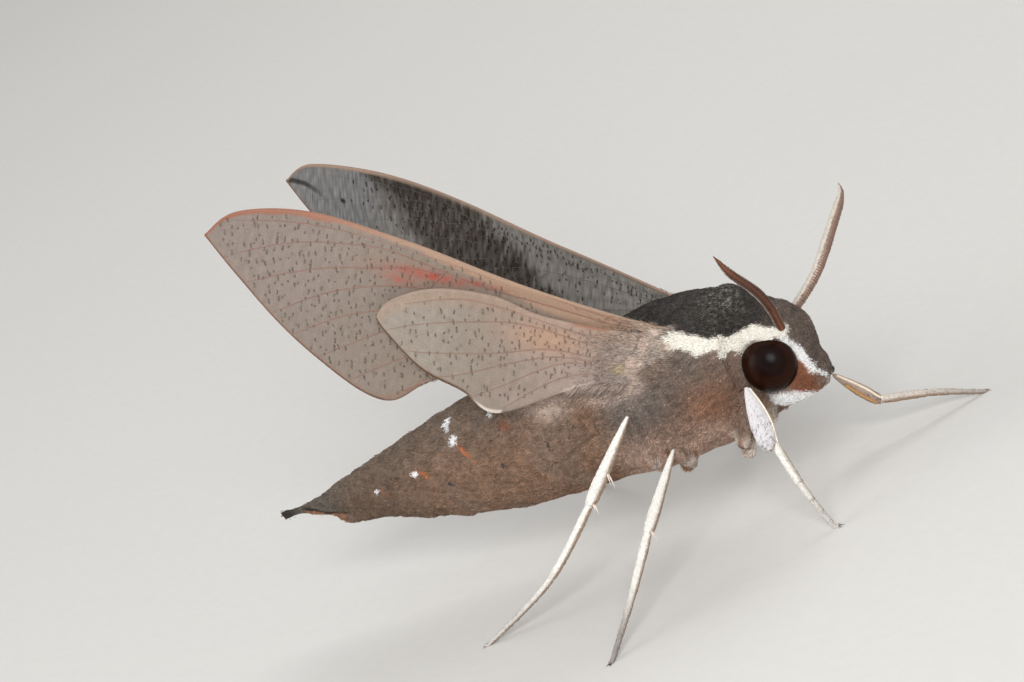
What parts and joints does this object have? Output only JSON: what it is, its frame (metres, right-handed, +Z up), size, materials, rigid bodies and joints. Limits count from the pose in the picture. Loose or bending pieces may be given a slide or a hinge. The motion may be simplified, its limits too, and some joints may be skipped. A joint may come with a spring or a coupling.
{
  "type": "hawk moth",
  "caption": "Life-size still model of a resting hawk moth with its wings raised over its back, standing on its legs.",
  "frame": {"origin": "middle of the moth's outline, on the floor under its feet", "axes": "+X towards the head, +Y to the moth's left, +Z up"},
  "size_m": [0.0508, 0.0418, 0.0335],
  "materials": {
    "body_hair": "matt grey-brown hair scales with a white stripe along each side of the thorax",
    "wing_scales": "matt pinkish grey scales with short dark flecks and fine pink veins",
    "leg_scales": "matt white scales on the front, brown behind",
    "antenna_scales": "pinkish brown with a white leading edge",
    "compound_eye": "glossy dark red-brown"
  },
  "bodies": {
    "root": {"abdomen": "body_hair", "antenna_left": "antenna_scales", "antenna_right": "antenna_scales", "eye_left": "compound_eye", "eye_right": "compound_eye", "forewing_left": "wing_scales", "forewing_right": "wing_scales", "head": "body_hair", "hindwing_left": "wing_scales", "hindwing_right": "wing_scales", "leg_fore_left_coxa": "body_hair", "leg_fore_left_femur": "body_hair", "leg_fore_left_tarsus": "leg_scales", "leg_fore_left_tibia": "leg_scales", "leg_fore_right_coxa": "body_hair", "leg_fore_right_femur": "body_hair", "leg_fore_right_tarsus": "leg_scales", "leg_fore_right_tibia": "leg_scales", "leg_hind_left_coxa": "body_hair", "leg_hind_left_femur": "body_hair", "leg_hind_left_tarsus": "leg_scales", "leg_hind_left_tibia": "leg_scales", "leg_hind_right_coxa": "body_hair", "leg_hind_right_femur": "body_hair", "leg_hind_right_tarsus": "leg_scales", "leg_hind_right_tibia": "leg_scales", "leg_mid_left_coxa": "body_hair", "leg_mid_left_femur": "body_hair", "leg_mid_left_tarsus": "leg_scales", "leg_mid_left_tibia": "leg_scales", "leg_mid_right_coxa": "body_hair", "leg_mid_right_femur": "body_hair", "leg_mid_right_tarsus": "leg_scales", "leg_mid_right_tibia": "leg_scales", "palp_left": "body_hair", "palp_right": "body_hair", "thorax": "body_hair"}
  },
  "joints": []
}
